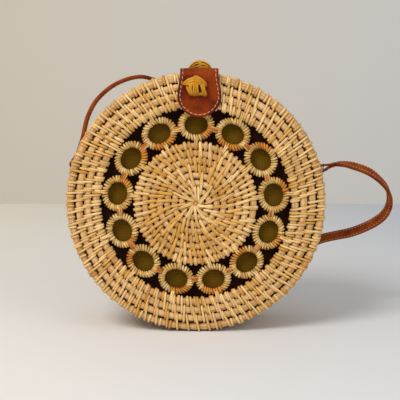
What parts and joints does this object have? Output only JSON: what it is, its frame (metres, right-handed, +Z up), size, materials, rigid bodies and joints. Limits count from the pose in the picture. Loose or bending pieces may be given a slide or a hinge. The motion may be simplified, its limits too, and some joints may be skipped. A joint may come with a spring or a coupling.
{
  "type": "circle bag",
  "caption": "Round coiled cane shoulder bag with a hinged openwork lid of wrapped rings, a buttoned leather flap and a long leather strap.",
  "frame": {"origin": "middle of the flat under the side wall that the bag stands on, under the middle wall row", "axes": "+Z up, -Y out of the openwork lid (the front), +X to the right as the lid is seen"},
  "size_m": [0.2709, 0.1996, 0.2109],
  "materials": {
    "coiled_cane": "satin natural split cane, sewn over coiled rods",
    "wrapped_cane": "satin, closely wrapped split cane",
    "lashing_cane": "satin, darker split cane",
    "golden_cane": "glossy golden folded cane",
    "flap_leather": "smooth reddish brown leather with pale stitching",
    "strap_leather": "smooth brown leather with pale stitching",
    "lining_cloth": "matt olive brown cotton",
    "brass": "satin"
  },
  "bodies": {
    "basket": {"back_panel": "coiled_cane", "side_wall": "coiled_cane", "mouth_rim": "coiled_cane", "wall_lining": "lining_cloth", "back_lining": "lining_cloth", "flap_root": "flap_leather", "flap_rivets": "brass", "top_knot": "golden_cane", "strap_loop_left": "wrapped_cane", "strap_loop_right": "wrapped_cane", "strap_end_left": "strap_leather", "strap_end_right": "strap_leather", "shoulder_strap": "strap_leather"},
    "lid": {"lid_rim": "coiled_cane", "lid_band": "coiled_cane", "lid_middle": "coiled_cane", "ring_ties": "lashing_cane", "outer_ties": "lashing_cane", "inner_ties": "lashing_cane", "lid_lining": "lining_cloth", "front_knot": "golden_cane", "hinge_ties": "lashing_cane", "ring_01": "wrapped_cane", "ring_02": "wrapped_cane", "ring_03": "wrapped_cane", "ring_04": "wrapped_cane", "ring_05": "wrapped_cane", "ring_06": "wrapped_cane", "ring_07": "wrapped_cane", "ring_08": "wrapped_cane", "ring_09": "wrapped_cane", "ring_10": "wrapped_cane", "ring_11": "wrapped_cane", "ring_12": "wrapped_cane", "ring_13": "wrapped_cane"},
    "flap": {"flap_tongue": "flap_leather"}
  },
  "joints": [
    {"name": "lid_hinge", "type": "hinge", "parent": "basket", "child": "lid", "pos_m": [0, -0.0199, 0.0029], "axis": [1, 0, 0], "range_deg": [0, 110]},
    {"name": "flap_lift", "type": "hinge", "parent": "basket", "child": "flap", "pos_m": [0.003, -0.0216, 0.203], "axis": [-1, 0, 0], "range_deg": [0, 110], "deforming": ["flap_tongue"]}
  ]
}
